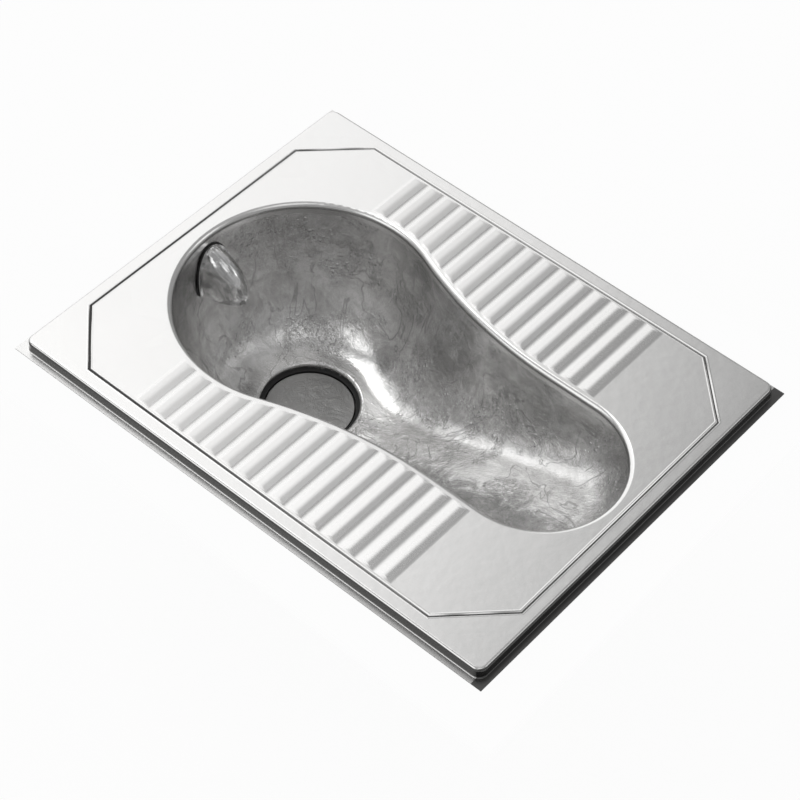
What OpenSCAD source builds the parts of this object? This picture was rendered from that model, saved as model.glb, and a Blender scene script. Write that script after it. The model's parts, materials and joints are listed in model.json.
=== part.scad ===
// Stainless steel squat pan, set flush into a cut-out in the floor.
// A pressed deck with ribbed footrests carries a deep-drawn keyhole bowl. A hood on the
// bowl's round end spreads the flush water. The drain below is shut by an odour flap, which
// water pushes open and a counterweight closes.
// Millimetres. Origin: middle of the deck lip's underside, which is the finished floor level.
// +X runs towards the narrow end of the bowl, +Z is up, and -Y is the near side.

/* [Deck] */
// Length of the deck over its turned-down edges
deck_l = 580; // [570:1:610]
// Width of the deck over its turned-down edges
deck_w = 450; // [440:1:480]
// Height of the deck's top above the floor
deck_h = 13; // [12.5:0.5:18]
// Thickness of the pressed steel sheet
sheet = 1; // [0.8:0.1:1.2]
// Radius of the deck's corners seen from above
corner_r = 10; // [7:1:20]
// Outside radius of the bend along the deck's edge
edge_r = 3.5; // [2.5:0.5:5]
// Width of the lip that lies on the floor
lip_w = 7; // [5:0.5:10]

/* [Pressed line] */
// Distance of the eight-sided pressed line from the deck's ends
line_end = 15; // [13:0.5:17]
// Distance of the pressed line from the deck's sides
line_side = 16.5; // [13:0.5:17]
// Size of the line's 45 degree corners
line_corner = 59; // [40:1:70]
// Width of the pressed line's groove at the deck's top
line_t = 3.4; // [2.4:0.2:3.6]
// Width of the groove's floor
line_foot = 0.8; // [0.4:0.2:1.2]
// Depth of the groove
line_d = 1.1; // [0.6:0.1:1.4]

/* [Footrests] */
// Number of ribs on each side
rib_count = 15; // [9:1:15]
// Distance from one rib to the next
rib_pitch = 21.8; // [21.7:0.1:22]
// Width of a rib over its hollow feet
rib_w = 21.6; // [18:0.2:21.6]
// Slope of a rib's sides
rib_slope = 7; // [5:0.5:8]
// Radius of a rib's crest
rib_crest_r = 24; // [12:1:24]
// Radius of the hollow along a rib's foot
rib_foot_r = 24; // [12:1:24]
// Slope of a rib's ends
rib_end_slope = 12; // [10:1:14]
// Middle of the row of ribs along X
rib_mid_x = 5; // [-3:1:6]
// Distance of the ribs' outer ends from the deck's sides
rib_side_gap = 20; // [20:0.5:27]
// Plain strip between the ribs' inner ends and the rolled rim
rib_gap = 2.5; // [2:0.5:6]

/* [Bowl opening] */
// Radius of the opening's round end
wide_r = 133; // [131:1:134]
// Place of the round end's centre along X
wide_x = -123; // [-125:1:-119]
// Radius of the opening's narrow end
tip_r = 85; // [84:1:88]
// Place of the narrow end's centre along X
tip_x = 175; // [165:1:176]
// Outside radius of the rolled rim
rim_r = 5.5; // [4:0.5:5.5]
// Depth of the rim's collar below the deck's top
collar_d = 12; // [11:0.5:12]

/* [Bowl] */
// Depth from the deck's top to the drain's edge
bowl_d = 154; // [145:1:165]
// Depth from the deck's top to the floor at the narrow end
heel_d = 62; // [50:1:80]
// Width of the curve between wall and floor at the round end
wide_curve = 70; // [60:1:72]
// Width of the curve between wall and floor in the channel
heel_curve = 42; // [30:1:50]
// Height by which the bowl laps outside the rim's collar
lap_h = 5; // [3:0.5:5.5]
// Gap between the collar and the bowl that laps it, filled by the weld
lap_gap = 0.25; // [0.2:0.05:0.3]
// Place of the drain's centre along X
drain_x = -118; // [-122:1:-115]
// Radius of the drain's throat
throat_r = 52.5; // [50:0.5:53]
// Radius of the bend from the bowl's floor into the throat
throat_bend = 3.5; // [2:0.5:4]

/* [Spout hood] */
// Width of the flush hood
hood_w = 47; // [47:1:52]
// Height of the flush hood
hood_h = 47; // [47:1:51]
// Reach of the hood from the bowl's wall
hood_l = 50; // [46:1:50]
// Thickness of the hood's metal
hood_t = 1.6; // [1.2:0.1:2]
// Width of the flange around the hood's foot
hood_flange = 2.5; // [1:0.5:2.5]
// Thickness of the hood's back plate
hood_back = 2; // [1.5:0.1:3]
// Depth of the hood's lower edge below the deck's top
hood_d = 66; // [64:1:67]
// Distance from the bowl's wall to the seat of the inlet tail in the hood
hood_gap = 8; // [8:0.5:9]
// Thickness of the rubber gasket behind the hood
gasket_t = 2; // [1.5:0.5:2.5]

/* [Flush inlet] */
// Outside radius of the threaded inlet tail
tail_r = 13.2; // [12.5:0.1:13.5]
// Bore radius of the inlet tail
tail_bore = 10.5; // [9:0.5:11]
// Height of the inlet above the hood's lower edge
tail_h = 24; // [22:1:24]
// Place of the inlet tail's outer end along X
tail_end_x = -302; // [-320:1:-295]
// Radius of the groove that ends the tail's clamped length
tail_groove_r = 12.3; // [11.6:0.1:12.3]
// Radius of the tail's flange inside the hood
tail_flange_r = 16; // [15.5:0.5:16]
// Thickness of the tail's flange
tail_flange_t = 2.5; // [2:0.5:4]
// Radius of the washers outside the bowl
washer_r = 21; // [19:0.5:24]
// Thickness of the rubber saddle at its thinnest
saddle_t = 4; // [3:0.5:6]
// Thickness of the steel washer
washer_t = 1.5; // [1:0.5:3]
// Size of the locknut across its flats
nut_af = 36; // [34:1:41]
// Thickness of the locknut
nut_t = 7; // [5:1:10]

/* [Outlet flange] */
// Outside radius of the outlet flange
flange_r = 82; // [81.5:0.5:83]
// Thickness of the steel outlet flange
flange_t = 2; // [1.5:0.5:3]
// Number of studs on the outlet flange
stud_count = 6; // [6]
// Radius of the circle of studs
stud_pitch_r = 75.5; // [75.5:0.5:76]
// Radius of a stud
stud_r = 3; // [2.5:0.1:3]
// Length of a stud below the flange
stud_l = 20; // [17:1:24]
// Thickness of the rubber seat gasket
seat_t = 3; // [2:0.5:4]
// Radius of the hole in the seat gasket
seat_r = 48.5; // [47.5:0.5:49]

/* [Valve housing] */
// Inside radius of the valve chamber
chamber_r = 66; // [65:0.5:66]
// Wall thickness of the moulded housing
housing_t = 3; // [2.5:0.5:3]
// Thickness of the housing's flange
housing_flange_t = 5; // [4:0.5:6]
// Height of the valve chamber below its flange
chamber_h = 80; // [80:1:90]
// Outside radius of the waste spigot
spigot_r = 55; // [55:0.5:56]
// Length of the waste spigot
spigot_l = 46; // [40:1:60]
// Radius of the bosses that hold the bushes
boss_r = 10; // [9:0.5:11]
// Distance of the bosses' ends from the middle
boss_y = 51; // [51:0.5:52]

/* [Odour flap] */
// Radius of the flap plate
flap_r = 54; // [53:0.5:54]
// Thickness of the flap plate
flap_t = 1.2; // [1:0.1:1.5]
// Radius of the raised middle of the flap
flap_boss_r = 45.5; // [44:0.5:45.5]
// Height of the raised middle of the flap
flap_boss_h = 2.5; // [1.5:0.5:2.5]
// Gap between the closed flap and its seat
flap_gap = 0.3; // [0.2:0.1:0.5]
// Distance of the hinge shaft from the drain's centre
hinge_x = 56; // [56:0.5:57]
// Distance of the hinge shaft below the top of the flap's edge
hinge_drop = 16; // [16:0.5:18]
// Radius of the hinge shaft
shaft_r = 4; // [3.5:0.25:4]
// Length of the hinge shaft
shaft_l = 124; // [122:1:130]
// Running clearance of the shaft in its bushes
shaft_play = 0.08; // [0.03:0.01:0.1]
// Clearance of fitted parts that don't move
fit_play = 0.03; // [0.02:0.01:0.1]
// Outside radius of a bush
bush_r = 6.2; // [6:0.1:6.5]
// Radius of a bush's flange
bush_flange_r = 8.5; // [8:0.25:8.5]
// Thickness of a bush's flange
bush_flange_t = 1.5; // [1:0.5:1.5]
// Radius of the flap bracket's hub
hub_r = 7; // [6.5:0.25:7]
// Width of the flap bracket
bracket_w = 22; // [18:1:26]
// Thickness of the flap bracket's arm
bracket_t = 4; // [3:0.5:5]
// Reach of the bracket past the drain's centre
bracket_reach = 30; // [20:1:36]

/* [Counterweight] */
// Distance of the counterweight from the hinge shaft
lever_l = 42; // [41:0.5:43]
// Angle of the levers below level when the flap is shut
lever_angle = 40; // [38:1:42]
// Width of a lever
lever_w = 12; // [10:0.5:13]
// Thickness of a lever
lever_t = 6; // [5:0.5:6]
// Gap between a bush and its lever
lever_gap = 1; // [0.5:0.25:1]
// Radius of a lever's hub
lever_hub_r = 8; // [7:0.5:8]
// Radius of the counterweight bar
weight_r = 10; // [9:0.5:10]

/* [Supports] */
// Distance of the anchor holes from the deck's ends
lug_inset_x = 90; // [85:1:100]
// Distance of the anchor holes from the deck's sides
lug_inset_y = 15; // [13:0.5:17]
// Depth of the anchor feet below the floor
lug_depth = 60; // [40:1:80]
// Width of an anchor lug
lug_w = 30; // [24:1:36]
// Thickness of an anchor lug
lug_t = 2; // [1.5:0.5:3]
// Width of an anchor foot
foot_w = 27; // [25:1:29]
// Radius of an anchor hole
lug_hole_r = 4.5; // [4:0.5:5.5]
// Length of a footrest stiffener
hat_l = 334; // [300:1:340]
// Distance of a stiffener's middle from the deck's side
hat_side = 53; // [51:1:57]
// Width of a stiffener's crown
hat_w = 20; // [16:1:22]
// Width of each flange of a stiffener
hat_flange = 10; // [8:1:11]
// Height of a stiffener
hat_h = 14; // [10:1:18]
// Thickness of a stiffener
hat_t = 1.2; // [1:0.1:2]
// Length of a damping pad
pad_l = 40; // [30:1:40]
// Width of a damping pad
pad_w = 36; // [24:1:36]
// Thickness of a damping pad
pad_t = 2; // [1.5:0.5:3]

/* [Earth bonding] */
// Width of the earth tag
tag_w = 20; // [16:1:24]
// Length of the earth tag below the deck
tag_h = 36; // [32:1:44]
// Thickness of the earth tag
tag_t = 1.5; // [1.2:0.1:2]
// Height of the earth bolt above the foot of the tag
tag_bolt_h = 11; // [10:1:14]
// Length of the earth bolt's shank
bolt_l = 14; // [12:1:20]

/* [Hidden] */
$fn = 96;
// Distance by which cutting tools run past the faces they cut.
CUT = 1;
// Overlap that joins two shapes of one piece.
JOIN = 1;
M6_R = 3;
M6_HOLE_R = 3.2;
M6_AF = 10;
M6_HEAD_T = 4;
M6_NUT_T = 5;
M6_WASHER_R = 6;
M6_WASHER_T = 1.2;
HEX_SIDES = 6;

// Opening outline: two arcs that bend inwards join the round end to the straight flanks.
// The round end's centre, the arc's centre and the foot below it make a 5-12-13 triangle.
waist_x = wide_x + 5 * (wide_r - tip_r);
waist_r = 12 * (wide_r - tip_r) - tip_r;
touch_a = atan2(12, 5);
far_waist = [waist_x, tip_r + waist_r];
near_waist = [waist_x, -tip_r - waist_r];

// Straight part of the bowl's neck, and its gap to the gasket below
NECK_L = 3;
NECK_GAP = 0.5;

// Levels
deck_under = deck_h - sheet;
seam_z = deck_h - collar_d;
floor_z = deck_h - bowl_d;
neck_z = floor_z - throat_bend - NECK_L;
flange_z = neck_z - NECK_GAP;
seat_z = flange_z - seat_t;
housing_z = seat_z - housing_flange_t;
chamber_z = seat_z - chamber_h;
spigot_z = chamber_z - housing_t - spigot_l;
flap_z = seat_z - flap_gap;
hinge_z = flap_z - hinge_drop;
hinge_at = [drain_x + hinge_x, 0, hinge_z];
hood_x = wide_x - wide_r + hood_gap;
hood_z = deck_h - hood_d;
tail_z = hood_z + tail_h;

// Places that keep their distance from the deck's edges
half_l = deck_l / 2;
half_w = deck_w / 2;
rib_end_y = half_w - rib_side_gap;
lug_x = half_l - lug_inset_x;
lug_y = half_w - lug_inset_y;
hat_y = half_w - hat_side;

// Height of a rib: a rounded crest, straight sides and a hollow foot
rib_arcs = rib_crest_r + rib_foot_r;
rib_side = (rib_w / 2 - rib_arcs * sin(rib_slope)) / cos(rib_slope);
rib_h = rib_arcs * (1 - cos(rib_slope)) + rib_side * sin(rib_slope);
rib_ramp = rib_h / tan(rib_end_slope);

// Bowl surface
bowl_out = sheet + lap_gap;
level_r = throat_r + throat_bend;
SLOPE_GAP = 2;
SLOPE_EASE = 50;
slope_x = drain_x + level_r + SLOPE_GAP;
heel_x = tip_x + tip_r - heel_curve;
floor_slope = (bowl_d - heel_d) / (heel_x - slope_x - SLOPE_EASE / 2);
WALL_STEPS = 8;
FLOOR_STEPS = 6;
BEND_STEPS = 3;
WIDE_STEPS = 40;
WAIST_STEPS = 8;
FLANK_STEPS = 3;
TIP_STEPS = 26;

// ---- Shared shapes ----

// Turns a drawing so that its x points along Y, its y up, and its height along X.
module along_x() {
    rotate([90, 0, 90]) children();
}

// Turns a shape that stands on Z so that it lies along Y, centred by the caller.
module along_y() {
    rotate([-90, 0, 0]) children();
}

module both_sides() {
    children();
    mirror([0, 1, 0]) children();
}

module rounded_rect(length, width, radius) {
    square([length - 2 * radius, width], center = true);
    square([length, width - 2 * radius], center = true);
    for (sx = [-1, 1], sy = [-1, 1])
        translate([sx * (length / 2 - radius), sy * (width / 2 - radius)]) circle(radius);
}

// Carries a section round a rounded rectangle. The section's x is its distance from the
// corner centres.
module round_frame(length, width, radius) {
    side = length / 2 - radius;
    face = width / 2 - radius;
    for (turn = [0, 180])
        rotate([0, 0, turn]) {
            translate([side, face, 0]) rotate_extrude(angle = 90) children();
            translate([-side, face, 0]) rotate([0, 0, 90]) rotate_extrude(angle = 90) children();
            translate([-side, face, 0]) along_x() linear_extrude(2 * side) children();
            translate([side, face, 0]) rotate([90, 0, 0]) linear_extrude(2 * face) children();
        }
}

module quarter_bend(radius, thickness) {
    intersection() {
        difference() {
            circle(radius);
            circle(radius - thickness);
        }
        square(radius);
    }
}

module ring(outer, inner, height) {
    difference() {
        cylinder(r = outer, h = height);
        translate([0, 0, -CUT]) cylinder(r = inner, h = height + 2 * CUT);
    }
}

module hex(flats, height) {
    cylinder(r = flats / (2 * cos(180 / HEX_SIDES)), h = height, $fn = HEX_SIDES);
}

module hex_nut(flats, bore_r, height) {
    difference() {
        hex(flats, height);
        translate([0, 0, -CUT]) cylinder(r = bore_r, h = height + 2 * CUT);
    }
}

module at_studs() {
    for (i = [0 : stud_count - 1])
        translate([drain_x, 0, 0]) rotate([0, 0, i * 360 / stud_count])
            translate([stud_pitch_r, 0, 0]) children();
}

// ---- Deck ----

// Outline of the opening, moved outwards by grow.
module opening_2d(grow) {
    half = tip_r + grow;
    translate([wide_x, 0]) circle(wide_r + grow);
    translate([tip_x, 0]) circle(half);
    translate([waist_x, -half]) square([tip_x - waist_x, 2 * half]);
    difference() {
        polygon([[wide_x, 0], far_waist, near_waist]);
        for (at = [far_waist, near_waist]) translate(at) circle(waist_r - grow, $fn = 360);
    }
}

// Section of the rolled rim and its collar. x is the distance outwards from the opening.
module rim_section() {
    translate([rim_r, deck_h - rim_r]) mirror([1, 0]) quarter_bend(rim_r, sheet);
    translate([0, seam_z]) square([sheet, collar_d - rim_r]);
}

// Carries a section round the opening. The section's x is its distance outwards.
module around_opening() {
    difference() {
        translate([wide_x, 0, 0]) rotate_extrude() translate([wide_r, 0]) children();
        translate([0, 0, -CUT]) linear_extrude(2 * deck_h)
            polygon([[wide_x, 0], far_waist, near_waist]);
    }
    translate([tip_x, 0, 0]) rotate([0, 0, -90]) rotate_extrude(angle = 180)
        translate([tip_r, 0]) children();
    both_sides() {
        translate([waist_x, tip_r, 0]) along_x() linear_extrude(tip_x - waist_x) children();
        intersection() {
            translate(far_waist) rotate_extrude($fn = 360)
                translate([waist_r, 0]) mirror([1, 0]) children();
            translate([0, 0, -CUT]) linear_extrude(2 * deck_h)
                polygon([[wide_x, 0], [waist_x, 0], far_waist]);
        }
    }
}

module deck_edge() {
    bend = corner_r - edge_r;
    round_frame(deck_l, deck_w, corner_r) {
        translate([bend, deck_h - edge_r]) quarter_bend(edge_r, sheet);
        translate([corner_r - sheet, 0]) square([sheet, deck_h - edge_r]);
    }
    linear_extrude(sheet)
        difference() {
            square([deck_l + 2 * lip_w, deck_w + 2 * lip_w], center = true);
            rounded_rect(deck_l - 2 * sheet, deck_w - 2 * sheet, corner_r - sheet);
        }
}

// Corners of the eight-sided line, moved outwards by grow.
function line_corners(grow) =
    let (x = half_l - line_end + grow, y = half_w - line_side + grow,
        cut = line_corner + grow * (2 - sqrt(2)))
    [[x, y - cut], [x - cut, y], [cut - x, y], [-x, y - cut],
        [-x, cut - y], [cut - x, -y], [x - cut, -y], [x, cut - y]];

// Carries a section round the eight-sided line, with mitred corners. The section's y is its
// height, and it is drawn between the levels from and to.
module along_line(from, to) {
    corners = line_corners(0);
    outer = line_corners(2 * line_t);
    inner = line_corners(-2 * line_t);
    sides = len(corners);
    for (i = [0 : sides - 1]) {
        next = (i + 1) % sides;
        run = corners[next] - corners[i];
        intersection() {
            translate([0, 0, from]) linear_extrude(to - from)
                polygon([outer[i], outer[next], inner[next], inner[i]]);
            translate(corners[i]) rotate([0, 0, atan2(run[1], run[0])]) translate([-2 * line_t, 0, 0])
                along_x() linear_extrude(norm(run) + 4 * line_t) children();
        }
    }
}

// Section of the pressed line's groove, open upwards.
module groove_2d() {
    foot = line_foot / 2;
    mouth = line_t - foot;
    top = deck_h + line_d;
    bottom = deck_h - line_d;
    polygon([[-mouth, top], [-foot, bottom], [foot, bottom], [mouth, top]]);
}

// Section of the sheet pressed down under the groove.
module bead_2d() {
    slope = atan2(2 * line_d, line_t - line_foot);
    side = sheet * tan(slope / 2);
    foot = line_foot / 2 + side;
    mouth = line_t / 2 + side;
    bottom = deck_under - line_d;
    polygon([[-mouth, deck_under], [-foot, bottom], [foot, bottom], [mouth, deck_under],
        [mouth, deck_h - sheet / 2], [-mouth, deck_h - sheet / 2]]);
}

// Half of a rib's section. drop carries it down below the deck's top.
module half_rib_2d(drop) {
    half = rib_w / 2;
    upper = [rib_crest_r * sin(rib_slope), deck_h + rib_h - rib_crest_r * (1 - cos(rib_slope))];
    lower = [half - rib_foot_r * sin(rib_slope), deck_h + rib_foot_r * (1 - cos(rib_slope))];
    difference() {
        union() {
            polygon([[0, deck_h - drop], [half, deck_h - drop], [half, deck_h], lower, upper,
                [0, deck_h]]);
            intersection() {
                translate([0, deck_h + rib_h - rib_crest_r]) circle(rib_crest_r);
                translate([0, deck_h - drop / 2]) square(rib_crest_r);
            }
        }
        translate([half, deck_h + rib_foot_r]) circle(rib_foot_r);
    }
}

// Cuts the ribs back to a ramp that keeps its distance from the rim.
module rib_inner_cut() {
    from = rim_r + rib_gap;
    over = deck_h + 2 * rib_h;
    linear_extrude(over) opening_2d(from);
    around_opening()
        polygon([[from - JOIN, deck_h], [from, deck_h], [from + 2 * rib_ramp, over],
            [from - JOIN, over]]);
}

// All ribs, as one wave on each side, with ramps at both ends.
module ribs(drop) {
    over = deck_h + 2 * rib_h;
    difference() {
        both_sides()
            intersection() {
                translate([rib_mid_x, 0, 0]) rotate([90, 0, 180]) linear_extrude(rib_end_y)
                    for (i = [0 : rib_count - 1])
                        translate([(i - (rib_count - 1) / 2) * rib_pitch, 0]) {
                            half_rib_2d(drop);
                            mirror([1, 0]) half_rib_2d(drop);
                        }
                translate([-half_l, 0, 0]) along_x() linear_extrude(deck_l)
                    polygon([[JOIN, deck_h - drop], [rib_end_y, deck_h - drop], [rib_end_y, deck_h],
                        [rib_end_y - 2 * rib_ramp, over], [JOIN, over]]);
            }
        rib_inner_cut();
    }
}

module deck_plate() {
    color("gainsboro")
        difference() {
            union() {
                translate([0, 0, deck_under]) linear_extrude(sheet)
                    difference() {
                        rounded_rect(deck_l - 2 * edge_r, deck_w - 2 * edge_r, corner_r - edge_r);
                        opening_2d(rim_r);
                    }
                deck_edge();
                around_opening() rim_section();
                ribs(sheet / 2);
                along_line(deck_under - line_d - CUT, deck_h) bead_2d();
            }
            translate([0, 0, -sheet]) ribs(CUT);
            along_line(deck_under - line_d, deck_h + 2 * line_d) groove_2d();
        }
}

// ---- Bowl ----

BOWL_HOLE_PLAY = 1;

// Depth of the bowl's floor at x. It is level around the drain and rises along the channel.
function floor_depth(x) =
    let (run = x - slope_x)
    bowl_d - floor_slope * (run < 0 ? 0 : run < SLOPE_EASE ? run * run / (2 * SLOPE_EASE)
        : run - SLOPE_EASE / 2);

function smooth(t) = t * t * (3 - 2 * t);

// Stations round the opening: [point, outward direction, width of the wall's curve].
function stations_of(centre, radius, from, to, steps, bend_side, curve_from, curve_to) =
    [for (i = [0 : steps - 1])
        let (a = from + (to - from) * i / steps, d = [cos(a), sin(a)])
        [centre + radius * d, bend_side * d,
            curve_from + (curve_to - curve_from) * smooth(i / steps)]];

function flank_stations(from_x, to_x, side) =
    [for (i = [0 : FLANK_STEPS - 1])
        [[from_x + (to_x - from_x) * i / FLANK_STEPS, side * tip_r], [0, side], heel_curve]];

stations = concat(
    stations_of([wide_x, 0], wide_r, touch_a, 360 - touch_a, WIDE_STEPS, 1, wide_curve, wide_curve),
    stations_of(near_waist, waist_r, 180 - touch_a, 90, WAIST_STEPS, -1, wide_curve, heel_curve),
    flank_stations(waist_x, tip_x, -1),
    stations_of([tip_x, 0], tip_r, -90, 90, TIP_STEPS, 1, heel_curve, heel_curve),
    flank_stations(tip_x, waist_x, 1),
    stations_of(far_waist, waist_r, 270, 180 + touch_a, WAIST_STEPS, -1, heel_curve, wide_curve)
);

function wall_point(s, turn, skin) =
    let (at = s[0] + s[1] * (bowl_out + skin - (s[2] + skin) * (1 - cos(turn))))
    [at[0], at[1], seam_z - (floor_depth(at[0]) - collar_d + skin) * sin(turn)];

// Direction from the drain's centre to the foot of a station's wall.
function to_drain(s) =
    let (foot = wall_point(s, 90, 0), d = [foot[0] - drain_x, foot[1]])
    d / norm(d);

function floor_point(s, t, skin) =
    let (foot = wall_point(s, 90, 0), d = to_drain(s),
        x = foot[0] + (drain_x + level_r * d[0] - foot[0]) * t,
        y = foot[1] + (level_r * d[1] - foot[1]) * t)
    [x, y, deck_h - floor_depth(x) - skin];

function neck_point(s, radius, z) =
    let (d = to_drain(s))
    [drain_x + radius * d[0], radius * d[1], z];

// Rings of the bowl from its lapped edge to the neck. skin is 0 inside, sheet outside.
function bowl_rings(skin) = concat(
    [[for (s = stations)
        let (at = s[0] + s[1] * (bowl_out + skin))
        [at[0], at[1], seam_z + lap_h]]],
    [for (k = [0 : WALL_STEPS]) [for (s = stations) wall_point(s, 90 * k / WALL_STEPS, skin)]],
    [for (k = [1 : FLOOR_STEPS]) [for (s = stations) floor_point(s, k / FLOOR_STEPS, skin)]],
    [for (k = [1 : BEND_STEPS])
        let (a = 90 * k / BEND_STEPS, bend = throat_bend - skin)
        [for (s = stations)
            neck_point(s, level_r - bend * sin(a), floor_z - throat_bend + bend * cos(a))]],
    [[for (s = stations) neck_point(s, throat_r + skin, neck_z)]]
);

module bowl_surface() {
    inner = bowl_rings(0);
    outer = bowl_rings(sheet);
    rings = concat(inner, [for (k = [len(outer) - 1 : -1 : 0]) outer[k]]);
    around = len(stations);
    count = len(rings);
    faces = [for (k = [0 : count - 1], i = [0 : around - 1])
        let (a = k * around, b = ((k + 1) % count) * around, next = (i + 1) % around)
        each [[a + i, a + next, b + next], [a + i, b + next, b + i]]];
    polyhedron([for (one = rings) each one], faces, convexity = 10);
}

// Solid that fills the bowl's round end. It seats the parts clamped to the wall.
module round_end_solid(grow) {
    reach = bowl_d - collar_d + grow;
    radius = wide_r + bowl_out + grow;
    translate([wide_x, 0, seam_z])
        rotate_extrude($fn = 360)
            polygon(concat(
                [[0, 0]],
                [for (k = [0 : WALL_STEPS])
                    let (a = 90 * k / WALL_STEPS)
                    [radius - (wide_curve + grow) * (1 - cos(a)), -reach * sin(a)]],
                [[0, -reach]]
            ));
}

module bowl_shell() {
    color("silver")
        difference() {
            bowl_surface();
            at_inlet(tail_end_x) cylinder(r = tail_r + BOWL_HOLE_PLAY, h = hood_x - tail_end_x);
        }
}

// ---- Flush spout ----

// Arch of the hood's foot, with its width across and its height up.
module arch_2d(half, height) {
    ARCH_STEPS = 32;
    polygon([for (i = [0 : ARCH_STEPS])
        let (a = 180 * i / ARCH_STEPS)
        [half * cos(a), height * sin(a)]]);
}

module at_inlet(x) {
    translate([x, 0, tail_z]) along_x() children();
}

module dome(reach, half, height) {
    scale([reach, half, height]) sphere(1, $fn = 64);
}

// Arch that runs through the bowl's wall, with its width across and its height up.
module hood_arch(half, height) {
    translate([hood_x - 2 * hood_gap, 0, hood_z]) along_x()
        linear_extrude(3 * hood_gap) arch_2d(half, height);
}

// The hood's foot follows the wall. A level seat inside takes the inlet tail's flange.
module spout_hood() {
    half = hood_w / 2;
    color("whitesmoke")
        difference() {
            intersection() {
                union() {
                    difference() {
                        hood_arch(half + hood_flange, hood_h + hood_flange);
                        round_end_solid(-gasket_t - hood_back);
                    }
                    at_inlet(hood_x - 2 * hood_gap)
                        cylinder(r = tail_flange_r, h = 2 * hood_gap + hood_back);
                    translate([hood_x - hood_gap, 0, hood_z])
                        intersection() {
                            difference() {
                                dome(hood_l, half, hood_h);
                                dome(hood_l - hood_t, half - hood_t, hood_h - hood_t);
                            }
                            translate([-JOIN, -hood_w, 0])
                                cube([hood_l + 2 * JOIN, 2 * hood_w, 2 * hood_h]);
                        }
                }
                round_end_solid(-gasket_t);
            }
            at_inlet(hood_x - 2 * hood_gap)
                cylinder(r = tail_r + fit_play, h = 3 * hood_gap);
        }
}

GASKET_EDGE = 0.5;
GASKET_SEAT = 0.25;
GASKET_PLAY = 0.1;
SADDLE_SEAT = 0.1;
TAIL_GROOVE_W = 2;
saddle_x = wide_x - wide_r - bowl_out - sheet - saddle_t;
clamp_x = saddle_x - washer_t - nut_t;

module spout_gasket() {
    edge = hood_flange + GASKET_EDGE;
    color("dimgray")
        difference() {
            intersection() {
                hood_arch(hood_w / 2 + edge, hood_h + edge);
                round_end_solid(-GASKET_SEAT);
            }
            round_end_solid(GASKET_PLAY - gasket_t);
            at_inlet(tail_end_x)
                cylinder(r = tail_r + fit_play, h = hood_x - tail_end_x + CUT);
        }
}

module inlet_tail() {
    color("gainsboro")
        difference() {
            union() {
                at_inlet(hood_x + hood_back) cylinder(r = tail_flange_r, h = tail_flange_t);
                at_inlet(tail_end_x) cylinder(r = tail_r, h = hood_x + hood_back - tail_end_x + JOIN);
            }
            at_inlet(tail_end_x - CUT)
                cylinder(r = tail_bore, h = hood_x + hood_back + tail_flange_t - tail_end_x + 2 * CUT);
            at_inlet(clamp_x - TAIL_GROOVE_W) ring(tail_r + CUT, tail_groove_r, TAIL_GROOVE_W);
        }
}

module inlet_saddle() {
    color("dimgray")
        difference() {
            at_inlet(saddle_x) ring(washer_r, tail_r + fit_play, 3 * saddle_t);
            round_end_solid(sheet + SADDLE_SEAT);
        }
}

module inlet_washer() {
    color("silver") at_inlet(saddle_x - washer_t) ring(washer_r, tail_r + fit_play, washer_t);
}

module inlet_locknut() {
    color("silver")
        at_inlet(clamp_x) hex_nut(nut_af, tail_r + fit_play, nut_t);
}

// ---- Outlet and valve housing ----

WELD_GAP = 0.15;
STUD_PLAY = 0.2;

module outlet_flange() {
    color("silver") {
        translate([drain_x, 0, flange_z]) ring(flange_r, throat_r + sheet + WELD_GAP, flange_t);
        at_studs() translate([0, 0, flange_z - stud_l]) cylinder(r = stud_r, h = stud_l + JOIN);
    }
}

module seat_gasket() {
    color("black")
        difference() {
            translate([drain_x, 0, seat_z]) ring(flange_r, seat_r, seat_t);
            at_studs() translate([0, 0, seat_z - CUT])
                cylinder(r = stud_r + STUD_PLAY, h = seat_t + 2 * CUT);
        }
}

module at_hinge(y) {
    translate(hinge_at + [0, y, 0]) along_y() children();
}

module valve_housing() {
    color("darkgray")
        difference() {
            union() {
                translate([drain_x, 0, housing_z]) cylinder(r = flange_r, h = housing_flange_t);
                translate([drain_x, 0, chamber_z])
                    cylinder(r = chamber_r + housing_t, h = chamber_h - JOIN);
                at_hinge(-boss_y) cylinder(r = boss_r, h = 2 * boss_y);
            }
            translate([drain_x, 0, chamber_z - CUT]) cylinder(r = chamber_r, h = chamber_h + 2 * CUT);
            at_hinge(-boss_y - CUT) cylinder(r = bush_r + fit_play, h = 2 * (boss_y + CUT));
            at_studs() translate([0, 0, housing_z - CUT])
                cylinder(r = stud_r + STUD_PLAY, h = housing_flange_t + 2 * CUT);
        }
}

// Welded under the housing. Its tube takes the waste pipe.
module waste_spigot() {
    color("darkgray")
        difference() {
            union() {
                translate([drain_x, 0, chamber_z - housing_t])
                    cylinder(r = chamber_r + housing_t, h = housing_t);
                translate([drain_x, 0, spigot_z]) cylinder(r = spigot_r, h = spigot_l + JOIN);
            }
            translate([drain_x, 0, spigot_z - CUT])
                cylinder(r = spigot_r - housing_t, h = spigot_l + housing_t + 2 * CUT);
        }
}

module flange_washers() {
    color("silver")
        at_studs() translate([0, 0, housing_z - M6_WASHER_T])
            ring(M6_WASHER_R, stud_r + fit_play, M6_WASHER_T);
}

module flange_nuts() {
    color("silver")
        at_studs() translate([0, 0, housing_z - M6_WASHER_T - M6_NUT_T])
            hex_nut(M6_AF, stud_r + fit_play, M6_NUT_T);
}

// ---- Odour flap ----

PIN_R = 1.5;

// Bush on the far side. The near one is its mirror image.
module shaft_bush() {
    wall_y = sqrt(pow(chamber_r, 2) - pow(hinge_x, 2));
    at_hinge(wall_y) ring(bush_r, shaft_r + shaft_play, boss_y - wall_y + bush_flange_t);
    at_hinge(boss_y) ring(bush_flange_r, shaft_r + shaft_play, bush_flange_t);
}

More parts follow.
